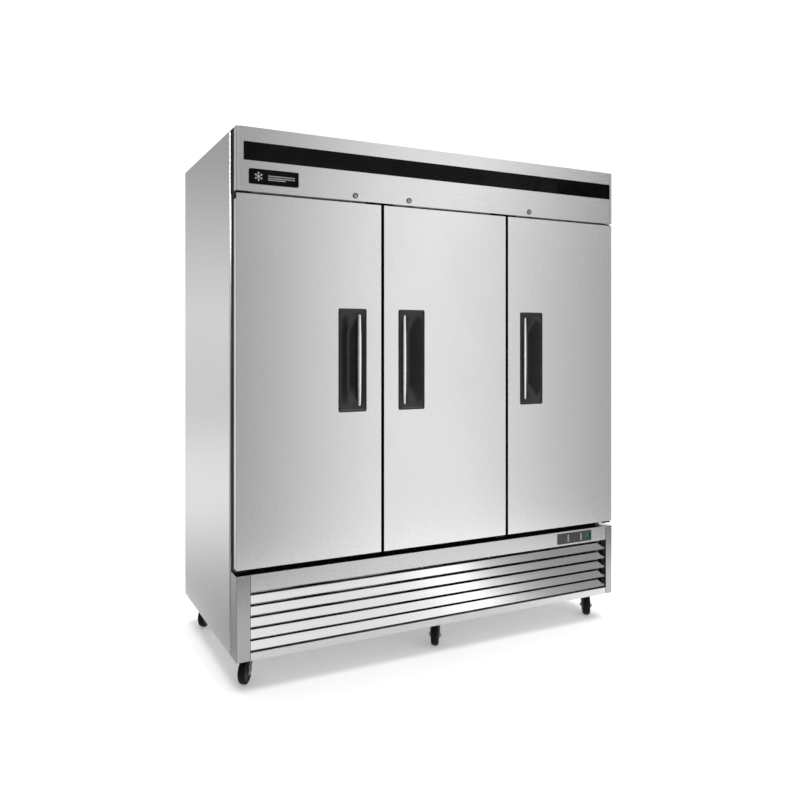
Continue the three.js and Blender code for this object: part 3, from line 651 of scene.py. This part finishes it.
def buildHandle(name):
    low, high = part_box("handle_" + name)
    side = doorSide[name]
    style = handleStyle
    front, back = low.y, high.y
    faceY = front + 0.0027
    w = style["rimWidth"]
    tray = bmesh.new()
    columns, rows = style["columns"], style["rows"]
    innerLow, innerHigh = Vector((low.x + w, 0, low.z + w)), Vector((high.x - w, 0, high.z - w))
    grid = []
    for r in range(rows + 1):
        v = -1 + 2 * r / rows
        line = []
        for c in range(columns + 1):
            u = -math.cos(math.pi * c / columns)
            deep = easeIn((1 - abs(u)) / 0.85) * easeIn((1 - abs(v)) / 0.5)
            x = (innerLow.x + innerHigh.x) / 2 + u * (innerHigh.x - innerLow.x) / 2
            z = (innerLow.z + innerHigh.z) / 2 + v * (innerHigh.z - innerLow.z) / 2
            line.append(tray.verts.new((x, front + 0.0022 + style["dishDepth"] * deep, z)))
        grid.append(line)
    for r in range(rows):
        for c in range(columns):
            tray.faces.new((grid[r][c], grid[r][c + 1], grid[r + 1][c + 1], grid[r + 1][c]))
    edge = grid[0] + [line[-1] for line in grid[1:]] + grid[-1][-2::-1] + [line[0] for line in grid[-2:0:-1]]
    middle = Vector(((low.x + high.x) / 2, 0, (low.z + high.z) / 2))

    # the rim rises from the dish, runs flat, then rolls over to the door skin
    def ringAt(inset, y, radius):
        halfX, halfZ = (high.x - low.x) / 2 - inset, (high.z - low.z) / 2 - inset
        ring = []
        for vertex in edge:
            dx, dz = vertex.co.x - middle.x, vertex.co.z - middle.z
            px = dx / ((innerHigh.x - innerLow.x) / 2) * halfX
            pz = dz / ((innerHigh.z - innerLow.z) / 2) * halfZ
            cx, cz = halfX - radius, halfZ - radius
            if abs(px) > cx and abs(pz) > cz:
                away = Vector((abs(px) - cx, abs(pz) - cz))
                away = away.normalized() * radius
                px, pz = math.copysign(cx + away.x, px), math.copysign(cz + away.y, pz)
            ring.append(tray.verts.new((middle.x + px, y, middle.z + pz)))
        return ring

    rounding, lip = style["cornerRadius"], style["lip"]
    rings = [edge, ringAt(w - 0.0006, front + 0.0004, 0.002), ringAt(w - 0.0016, front, 0.003),
             ringAt(0.0015, front, rounding), ringAt(0.0004, front + 0.0005, rounding),
             ringAt(0.0, front + 0.0016, rounding), ringAt(0.0, faceY, rounding),
             ringAt(lip, faceY, rounding), ringAt(lip, back, rounding)]
    for a, b in zip(rings, rings[1:]):
        bridge(tray, a, b)
    tray.faces.new(rings[-1])
    bmesh.ops.remove_doubles(tray, verts=tray.verts, dist=1e-6)
    shell = makePiece(name + "HandleTray", tray, handlePlastic, "door_" + name, smooth=True)
    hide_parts("handle_" + name)

    nearX = high.x if side < 0 else low.x
    gripX = nearX + side * style["gripFromEdge"]
    reach = (high.z - low.z) / 2 - style["barInset"]
    sides = style["barSides"]

    # an upright bar, fullest at mid height, whose ends run back into the dish
    def uprightBar(pieceName, shape, material):
        narrow, full = shape["width"]
        bar = bmesh.new()
        loops = []
        for i in range(rows + 1):
            t = -1 + 2 * i / rows
            swell = math.sqrt(max(0.0, 1 - t * t))
            wide = narrow + (full - narrow) * swell
            sink = style["sink"] * (1 - easeIn((1 - abs(t)) / 0.06))
            y = front + shape["standOff"] + sink + style["bow"] * t * t
            loop = []
            for k in range(sides):
                angle = 2 * math.pi * k / sides
                x = gripX + wide * math.cos(angle)
                loop.append(bar.verts.new((x, y + shape["depth"] * math.sin(angle), middle.z + t * reach)))
            loops.append(loop)
        for a, b in zip(loops, loops[1:]):
            bridge(bar, a, b)
        bar.faces.new(loops[0][::-1])
        bar.faces.new(loops[-1])
        piece = makePiece(pieceName, bar, material, "door_" + name, smooth=True)

    uprightBar(name + "HandleGrip", style["grip"], gripPlastic)
    # the bright spindle is a painted highlight
    uprightBar(name + "HandleHighlightSpindle", style["highlightSpindle"], highlightSpindleMetal)


for name in doorNames:
    buildHandle(name)
print("handles built")

# Gaskets.

# across the seal and back from its front
gasketStyle = {"ribs": [(0.0, 0.0), (0.0, 0.0065), (0.0025, 0.0085), (0.0025, 0.0125), (0.0, 0.0145),
                        (0.0005, 0.0195), (0.0165, 0.0195), (0.0175, 0.0145), (0.015, 0.0125),
                        (0.015, 0.0085), (0.0175, 0.0065), (0.0175, 0.0)]}


def buildGasket(name):
    low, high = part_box("gasket_" + name)
    bm = bmesh.new()
    depth = high.y - low.y
    profile = [(u, min(v, depth)) for u, v in gasketStyle["ribs"]]
    rings = []
    for cx, cz, sx, sz in ((low.x, low.z, 1, 1), (high.x, low.z, -1, 1),
                           (high.x, high.z, -1, -1), (low.x, high.z, 1, -1)):
        rings.append([bm.verts.new((cx + sx * u, low.y + v, cz + sz * u)) for u, v in profile])
    for a, b in zip(rings, rings[1:] + rings[:1]):
        bridge(bm, a, b)
    seal = makePiece(name + "DoorSeal", bm, gasketRubber, "door_" + name)
    softenEdges(seal, 0.0006)
    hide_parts("gasket_" + name)


for name in doorNames:
    buildGasket(name)
print("gaskets built")

# Wire shelves.

shelfStyle = {"wireRadius": 0.0017, "railRadius": 0.0034, "wireCount": 27, "drop": 0.004}


def buildShelfMesh(width, depth, thickness, style=shelfStyle):
    bm = bmesh.new()
    rail, wire = style["railRadius"], style["wireRadius"]
    x0, x1 = -width / 2 + rail, width / 2 - rail
    y0, y1 = rail, depth - rail
    for (xa, ya), (xb, yb) in (((x0, y0), (x1, y0)), ((x0, y1), (x1, y1)),
                               ((x0, y0), (x0, y1)), ((x1, y0), (x1, y1))):
        addTube(bm, [(xa, ya, rail), (xb, yb, rail)], rail, 10)
    for share in (0.33, 0.67):
        y = y0 + (y1 - y0) * share
        addTube(bm, [(x0, y, rail), (x1, y, rail)], rail * 0.9, 10)
    for i in range(style["wireCount"]):
        x = x0 + (x1 - x0) * (i + 0.5) / style["wireCount"]
        top = thickness - wire
        addTube(bm, [(x, y0 - rail * 0.4, top - style["drop"]), (x, y0 + 0.002, top), (x, y1 - 0.002, top),
                     (x, y1 + rail * 0.4, top - style["drop"])], wire, 6)
    mesh = bpy.data.meshes.new("wireShelf")
    bm.to_mesh(mesh)
    bm.free()
    mesh.materials.append(shelfCoat)
    mesh.shade_smooth()
    return mesh


shelfMeshes = {}
for name in doorNames:
    for level in (1, 2, 3):
        nodeName = f"shelf_{name}_{level}"
        low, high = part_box(nodeName)
        width = round(high.x - low.x, 4)
        if width not in shelfMeshes:
            shelfMeshes[width] = buildShelfMesh(width, high.y - low.y, high.z - low.z)
        shelf = bpy.data.objects.new(f"{name}WireShelf{level}", shelfMeshes[width])
        scene.collection.objects.link(shelf)
        shelf.location = ((low.x + high.x) / 2, low.y, low.z)
        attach(shelf, "cabinet")
        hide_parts(nodeName)
print("shelves built")

# Header plate and controller.

plateStyle = {
    "inset": 0.004, "proud": 0.0002,
    "markPlace": 0.034, "armLength": 0.017, "armHalf": 0.0011,
    "twigRoot": 0.0105, "twigLength": 0.006, "twigHalf": 0.0008,
    "barStart": 0.072, "barRise": 0.0034,
    "bars": [(0.0035, 0.012), (-0.0045, 0.012), (-0.0115, 0.05)],      # height, gap at the right
}


def buildPlateMark():
    low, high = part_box("plain_plate")
    bm = bmesh.new()
    style = plateStyle
    front, back = low.y - style["proud"], low.y + 0.0005
    x0, x1, middleZ = low.x + style["inset"], high.x - style["inset"], (low.z + high.z) / 2
    # a plain six-armed frost mark and three bars
    centre = Vector((x0 + style["markPlace"], 0, middleZ))
    for arm in range(3):
        angle = math.pi * arm / 3 + math.pi / 2
        direction = Vector((math.cos(angle), 0, math.sin(angle)))
        across = Vector((-direction.z, 0, direction.x))
        for sign in (-1, 1):
            tip = centre + direction * sign * style["armLength"]
            for lean in (-1, 1):
                root = centre + direction * sign * style["twigRoot"]
                end = root + (direction * sign + across * lean).normalized() * style["twigLength"]
                addSlant(bm, root, end, style["twigHalf"], front, back)
            addSlant(bm, centre, tip, style["armHalf"], front, back)
    mark = makePiece("headerPlateMark", bm, whitePlastic, "cabinet")
    bars = bmesh.new()
    for offset, shorter in style["bars"]:
        z = middleZ + offset
        addBox(bars, (x0 + style["barStart"], front, z), (x1 - shorter, back, z + style["barRise"]))
    lines = makePiece("headerPlateBars", bars, greyPlastic, "cabinet")


# A flat bar from start to end, between two depths.
def addSlant(bm, start, end, half, y0, y1):
    direction = (end - start).normalized()
    across = Vector((-direction.z, 0, direction.x)) * half
    loop = [start + across, start - across, end - across, end + across]
    addPrism(bm, [(p.x, y0, p.z) for p in loop], [(p.x, y1, p.z) for p in loop])


buildPlateMark()

controlStyle = {
    "display": (0.059, 0.145),       # the display's recess, from the controller's left
    "inset": 0.0085, "bracketWidth": 0.0085,
    "digits": "38", "digitHeight": 0.013, "digitPitch": 0.0125, "stroke": 0.001,
    "buttonRises": (0.009, 0.023),
}


def buildController():
    low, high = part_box("controller")
    front = low.y
    style = controlStyle
    x0, x1 = low.x + style["display"][0], low.x + style["display"][1]
    z0, z1 = low.z + style["inset"], high.z - style["inset"]
    wide = style["bracketWidth"]
    bezel = bmesh.new()
    for a, b in ((x0, x0 + wide), (x1 - wide, x1)):
        addPlate(bezel, a, b, z0, z1, front - 0.0004, front + 0.0012, 0.002)
    sides = makePiece("displaySides", bezel, greyPlastic, "cabinet")
    softenEdges(sides, 0.0005)
    glass = bmesh.new()
    addPlate(glass, x0 + wide + 0.0005, x1 - wide - 0.0005, z0, z1, front + 0.0002, front + 0.0012, 0.0015)
    window = makePiece("displayWindow", glass, displayGlass, "cabinet")
    digits = bmesh.new()
    segments = {"3": "abcdg", "8": "abcdefg"}
    size = style["digitHeight"]
    for index, sign in enumerate(style["digits"]):
        cx = (x0 + x1) / 2 - 0.006 + index * style["digitPitch"]
        cz = (z0 + z1) / 2
        w, h, t = size * 0.27, size / 2, style["stroke"]
        places = {
            "a": ((-w, w), (h - t, h)), "d": ((-w, w), (-h, -h + t)), "g": ((-w, w), (-t / 2, t / 2)),
            "b": ((w - t / 2, w + t / 2), (t, h - t)), "c": ((w - t / 2, w + t / 2), (-h + t, -t)),
            "e": ((-w - t / 2, -w + t / 2), (-h + t, -t)), "f": ((-w - t / 2, -w + t / 2), (t, h - t)),
        }
        for part in segments[sign]:
            (a, b), (c, d) = places[part]
            addBox(digits, (cx + a, front - 0.0001, cz + c), (cx + b, front + 0.0004, cz + d))
    figures = makePiece("displayDigits", digits, digitGrey, "cabinet")
    buttons = bmesh.new()
    for place in (x0 + wide / 2, x1 - wide / 2):
        for rise in style["buttonRises"]:
            addTurned(buttons, [(0, -0.0014), (0.0018, -0.0014), (0.0024, -0.0009), (0.0024, 0.0004)],
                      (place, front, z0 + rise), "y", 20)
    keys = makePiece("displayButtons", buttons, controlPlastic, "cabinet", smooth=True)
    panels = bmesh.new()
    addPlate(panels, low.x + 0.006, x0 - 0.004, z0, z1, front - 0.0003, front + 0.0005, 0.003)
    blank = makePiece("controlBlankPanel", panels, controlPlastic, "cabinet")
    softenEdges(blank, 0.0004)


buildController()
print("plate and controller built")

# Casters.

casterStyle = {"turn": -40, "halfWidth": 0.015, "sides": 56, "forkGap": 0.017, "cheek": 0.0032,
               "hubShare": 0.7, "bore": 0.0061, "ribs": 6}
casterTurn = Matrix.Rotation(math.radians(casterStyle["turn"]), 4, "Z")


# Turns a shape made about a caster's own axis into place.
def placeTurned(bm, centre):
    bm.transform(Matrix.Translation(centre) @ casterTurn)
    return bm


def buildWheel(name):
    low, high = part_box("caster_wheel_" + name)
    centre = (low + high) / 2
    r = (high.z - low.z) / 2
    h = casterStyle["halfWidth"]
    sides = casterStyle["sides"]
    hubEdge = r * casterStyle["hubShare"]
    tyre = bmesh.new()
    addTurned(tyre, [(hubEdge, -h + 0.003), (hubEdge + 0.003, -h + 0.001), (r - 0.006, -h),
                     (r - 0.002, -h + 0.003), (r, -h + 0.008), (r, h - 0.008), (r - 0.002, h - 0.003),
                     (r - 0.006, h), (hubEdge + 0.003, h - 0.001), (hubEdge, h - 0.003),
                     (hubEdge, -h + 0.003)], (0, 0, 0), "x", sides)
    tread = makePiece(name + "Tyre", placeTurned(tyre, centre), treadRubber, "wheel_" + name, smooth=True)
    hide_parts("caster_wheel_" + name)
    hub = bmesh.new()
    rim = hubEdge - 0.0002
    bore = casterStyle["bore"]
    side = [(bore, -h + 0.001), (0.012, -h + 0.001), (0.0135, -h + 0.003), (0.016, -h + 0.006),
            (rim - 0.004, -h + 0.006), (rim - 0.0015, -h + 0.003), (rim, -h + 0.003)]
    otherSide = [(radius, -along) for radius, along in side[::-1]]
    addTurned(hub, side + otherSide + side[:1], (0, 0, 0), "x", sides)
    for i in range(casterStyle["ribs"]):
        for sign in (-1, 1):
            rib = bmesh.new()
            x = sign * (h - 0.0052)
            addBox(rib, (x - 0.001, 0.0125, -0.0011), (x + 0.001, rim - 0.002, 0.0011))
            rib.transform(Matrix.Rotation(2 * math.pi * i / casterStyle["ribs"], 4, "X"))
            merge(hub, rib)
    core = makePiece(name + "WheelHub", placeTurned(hub, centre), controlPlastic, "wheel_" + name)
    softenEdges(core, 0.0003)


def buildForkParts(name):
    wheelLow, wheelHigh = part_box("caster_wheel_" + name)
    axle = (wheelLow + wheelHigh) / 2
    reach = casterStyle["forkGap"] + casterStyle["cheek"]
    nuts = bmesh.new()
    for sign in (-1, 1):
        nut = [(0.0, 0.0062), (0.0062, 0.0062), (0.0078, 0.0048), (0.0078, 0.0), (0.0, 0.0)]
        washer = [(0.0, 0.0008), (0.0105, 0.0008), (0.0105, -0.0002), (0.0, -0.0002)]
        for profile, sides in ((nut, 6), (washer, 28)):
            addTurned(nuts, [(r, sign * (reach + out)) for r, out in profile], (0, 0, 0), "x", sides)
    pair = makePiece(name + "AxleNuts", placeTurned(nuts, axle), zincPlate, "fork_" + name)
    softenEdges(pair, 0.0003)
    softenEdges(cadNodes["caster_fork_" + name], 0.0007)
    if name.endswith("front"):
        pedal = bmesh.new()
        path = roundedPath([(0, -0.026, 0.064), (0, -0.040, 0.056), (0, -0.054, 0.060)], 0.008)
        outline = [(0.012 * a, b) for a, b in ((-1, -0.0012), (1, -0.0012), (1, 0.0012), (-1, 0.0012))]
        rings = []
        for point in path:
            rings.append([pedal.verts.new((point.x + a, point.y, point.z + b)) for a, b in outline])
        for a, b in zip(rings, rings[1:]):
            bridge(pedal, a, b)
        pedal.faces.new(rings[0][::-1])
        pedal.faces.new(rings[-1])
        lever = makePiece(name + "BrakePedal", placeTurned(pedal, axle), blackPaint, "fork_" + name)
        softenEdges(lever, 0.0005)


for name in casterNames:
    buildWheel(name)
    buildForkParts(name)
print("casters built")

# Locks.

lockStyle = {"bore": 0.0062, "shank": 0.0104, "lip": 0.0022, "keySlot": 0.0008, "plugWidth": 0.0051,
             "plugHeight": 0.0058, "camHalf": 0.005}


def buildLock(name):
    low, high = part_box("lock_" + name)
    r = (high.z - low.z) / 2       # the flange
    x, z = low.x + r, (low.z + high.z) / 2
    front = low.y
    bore, shank, lip = lockStyle["bore"], lockStyle["shank"], front + lockStyle["lip"]
    ring = bmesh.new()
    addTurned(ring, [(bore, lip), (bore, front + 0.0004), (0.0085, front), (r - 0.0015, front),
                     (r, front + 0.001), (r, lip), (shank, lip), (shank, high.y), (bore, high.y),
                     (bore, lip)], (x, 0, z), "y", 40)
    collar = makePiece(name + "LockCollar", ring, lockMetal, "lock_" + name, smooth=True)
    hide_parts("lock_" + name)
    plug = bmesh.new()
    for sign in (-1, 1):
        outline = []
        for i in range(13):
            angle = -math.pi / 2 + math.pi * i / 12
            px = sign * (lockStyle["keySlot"] + lockStyle["plugWidth"] * math.cos(angle))
            outline.append((x + px, z + lockStyle["plugHeight"] * math.sin(angle)))
        addPrism(plug, [(px, front + 0.0012, pz) for px, pz in outline],
                 [(px, front + 0.02, pz) for px, pz in outline])
    core = makePiece(name + "LockPlug", plug, zincPlate, "lock_" + name)
    cam = bmesh.new()
    half = lockStyle["camHalf"]
    addBox(cam, (x - half, high.y - 0.0038, z - half), (high.x, high.y - 0.0008, z + half))
    addTurned(cam, [(0, high.y), (0.0045, high.y), (0.0045, high.y - 0.004), (0, high.y - 0.004)],
              (x, 0, z), "y", 6)
    tongue = makePiece(name + "LockCam", cam, zincPlate, "lock_" + name)
    softenEdges(tongue, 0.0005)


for name in doorNames:
    buildLock(name)
print("locks built")

# Floor, light, camera.

# The floor fades into the white backdrop over "fade" at each edge: left, right, front, rear.
floorLook = {"x": (-1.06, 2.3), "y": (-1.75, 1.6), "fade": (0.13, 0.8, 0.8, 0.8), "tone": (0.93, 0.93, 0.93),
             "glow": 0.24}


def buildFloor():
    bm = bmesh.new()
    (x0, x1), (y0, y1) = floorLook["x"], floorLook["y"]
    bm.faces.new([bm.verts.new((x, y, 0)) for x, y in ((x0, y0), (x1, y0), (x1, y1), (x0, y1))])
    mesh = bpy.data.meshes.new("studioFloor")
    bm.to_mesh(mesh)
    bm.free()
    floor = bpy.data.objects.new("studioFloor", mesh)
    scene.collection.objects.link(floor)
    floorPaint, shader = newMaterial("floorPaint", floorLook["tone"], 0.0, 0.9)
    shader.inputs["Specular IOR Level"].default_value = 0.1
    shader.inputs["Emission Color"].default_value = (1, 1, 1, 1)
    shader.inputs["Emission Strength"].default_value = floorLook["glow"]
    tree = floorPaint.node_tree
    coords = tree.nodes.new("ShaderNodeTexCoord")
    split = tree.nodes.new("ShaderNodeSeparateXYZ")
    tree.links.new(coords.outputs["Object"], split.inputs["Vector"])
    left, right, near, far = floorLook["fade"]
    share = spread(tree, split.outputs["X"], 0.0, 1.0, x0, x0 + left)
    for output, edge, inner in (("X", x1, x1 - right), ("Y", y0, y0 + near), ("Y", y1, y1 - far)):
        first, last = (1.0, 0.0) if edge > inner else (0.0, 1.0)
        fade = spread(tree, split.outputs[output], first, last, min(edge, inner), max(edge, inner))
        share = combine(tree, "MULTIPLY", share, fade)
    tree.links.new(share, shader.inputs["Alpha"])
    mesh.materials.append(floorPaint)


buildFloor()

# Brightness of the studio by direction. The turn is in degrees from straight in front of the doors,
# positive to the right; 180 is straight behind.
skyLook = {
    # around the horizon, as the doors mirror it
    "level": [(-180, 1.12), (-178, 1.12), (-175, 0.4), (-120, 0.45), (-60, 0.28), (0, 0.22), (14, 0.23),
              (20, 0.32), (24, 0.5), (27, 0.85), (30.5, 1.3), (34, 1.42), (38, 1.36), (42, 1.03), (45, 0.5),
              (48, 0.2), (56, 0.1), (75, 0.15), (95, 0.5), (112, 1.12), (180, 1.12)],
    # high up, as the sloping louvres mirror it
    "raised": [(-180, 0.9), (-90, 0.6), (-20, 0.6), (10, 0.85), (22, 1.02), (36, 0.96), (43, 1.1), (45, 1.7),
               (46.6, 1.7), (48, 0.8), (50, 0.5), (52, 0.38), (54, 0.34), (64, 0.3), (90, 0.4), (115, 1.1),
               (180, 1.1)],
    # a narrow upright lamp
    "glint": [(-180, 0.0), (40.2, 0.0), (40.6, 3.0), (41.6, 3.0), (42.0, 0.0), (180, 0.0)],
    # behind, the backdrop stays white at every height
    "backdrop": [(-180, 1.12), (-178, 1.12), (-175, 0.0), (95, 0.0), (112, 1.12), (180, 1.12)],
    # the left side's reflection, by height in degrees, and the turns that it covers
    "leftRear": [(-90, 0.35), (-26, 0.3), (-20, 0.45), (-14, 0.98), (-10, 0.95), (-6, 0.7), (3, 0.82),
                 (10, 0.58), (16, 0.37), (40, 0.4), (90, 0.6)],
    "leftRearShare": [(-180, 0.0), (-178, 0.0), (-175, 1.0), (-132, 1.0), (-112, 0.0), (180, 0.0)],
    "levelByHeight": [(-90, 1.0), (17, 1.0), (21, 0.6), (24, 0.6), (27, 0.0), (90, 0.0)],
    "raisedByHeight": [(-90, 0.0), (24, 0.0), (27, 1.0), (90, 1.0)],
    "glintByHeight": [(-90, 0.0), (11, 0.0), (12, 1.0), (16, 1.0), (17, 0.0), (90, 0.0)],
}


def rampFrom(tree, value, stops, low, high):
    around = spread(tree, value, 0.0, 1.0, low, high)
    ramp = tree.nodes.new("ShaderNodeValToRGB")
    elements = ramp.color_ramp.elements
    while len(elements) < len(stops):
        elements.new(0.5)
    for element, (place, level) in zip(elements, stops):
        element.position = (place - stops[0][0]) / (stops[-1][0] - stops[0][0])
        element.color = (level, level, level, 1)
    tree.links.new(around, ramp.inputs["Fac"])
    return ramp.outputs["Color"]


def blend(tree, kind, share, first, second):
    mix = tree.nodes.new("ShaderNodeMix")
    mix.data_type = "RGBA"
    mix.blend_type = kind
    if hasattr(share, "node"):
        tree.links.new(share, mix.inputs["Factor"])
    else:
        mix.inputs["Factor"].default_value = share
    tree.links.new(first, mix.inputs["A"])
    tree.links.new(second, mix.inputs["B"])
    return mix.outputs["Result"]


def buildSky():
    world = bpy.data.worlds.new("softStudio")
    world.use_nodes = True
    tree = world.node_tree
    background = tree.nodes["Background"]
    coords = tree.nodes.new("ShaderNodeTexCoord")
    split = tree.nodes.new("ShaderNodeSeparateXYZ")
    tree.links.new(coords.outputs["Generated"], split.inputs["Vector"])
    flip = tree.nodes.new("ShaderNodeMath")
    flip.operation = "MULTIPLY"
    flip.inputs[1].default_value = -1
    tree.links.new(split.outputs["Y"], flip.inputs[0])
    turn = combine(tree, "ARCTAN2", split.outputs["X"], flip.outputs[0])
    rise = tree.nodes.new("ShaderNodeMath")
    rise.operation = "ARCSINE"
    tree.links.new(split.outputs["Z"], rise.inputs[0])

    def byTurn(part):
        return rampFrom(tree, turn, skyLook[part], -math.pi, math.pi)

    def byHeight(part):
        return rampFrom(tree, rise.outputs[0], skyLook[part], -math.pi / 2, math.pi / 2)

    total = None
    for part in ("level", "raised", "glint"):
        shown = blend(tree, "MULTIPLY", 1.0, byTurn(part), byHeight(part + "ByHeight"))
        total = shown if total is None else blend(tree, "ADD", 1.0, total, shown)
    total = blend(tree, "LIGHTEN", 1.0, total, byTurn("backdrop"))
    total = blend(tree, "MIX", byTurn("leftRearShare"), total, byHeight("leftRear"))
    tree.links.new(total, background.inputs["Color"])
    scene.world = world


buildSky()

lightLook = {
    "overhead": {"place": (0.4, 0.2, 4.4), "aim": (0.4, 0.2, 0), "size": (5.0, 4.0), "power": 230},
}
for name, look in lightLook.items():
    lamp = bpy.data.lights.new(name, "AREA")
    lamp.shape = "RECTANGLE"
    lamp.size, lamp.size_y = look["size"]
    lamp.energy = look["power"]
    lampObject = bpy.data.objects.new(name, lamp)
    lampObject.location = look["place"]
    toward = Vector(look["aim"]) - Vector(look["place"])
    lampObject.rotation_euler = toward.to_track_quat("-Z", "Y").to_euler()
    scene.collection.objects.link(lampObject)

# turn in degrees, sensor and lens in millimetres, shift as a share of the frame's width
cameraLook = {"place": (-1.73, -2.697, 1.301), "turn": -22.03, "sensor": 36, "lens": 29.907,
              "shift": (0.1575, -0.0705)}
camera = bpy.data.objects.new("camera", bpy.data.cameras.new("camera"))
scene.collection.objects.link(camera)
camera.location = cameraLook["place"]
camera.rotation_euler = (math.radians(90), 0, math.radians(cameraLook["turn"]))
camera.data.sensor_width = cameraLook["sensor"]
camera.data.lens = cameraLook["lens"]
camera.data.shift_x, camera.data.shift_y = cameraLook["shift"]
scene.camera = camera
scene.view_settings.view_transform = "Standard"
print("floor, light and camera set")
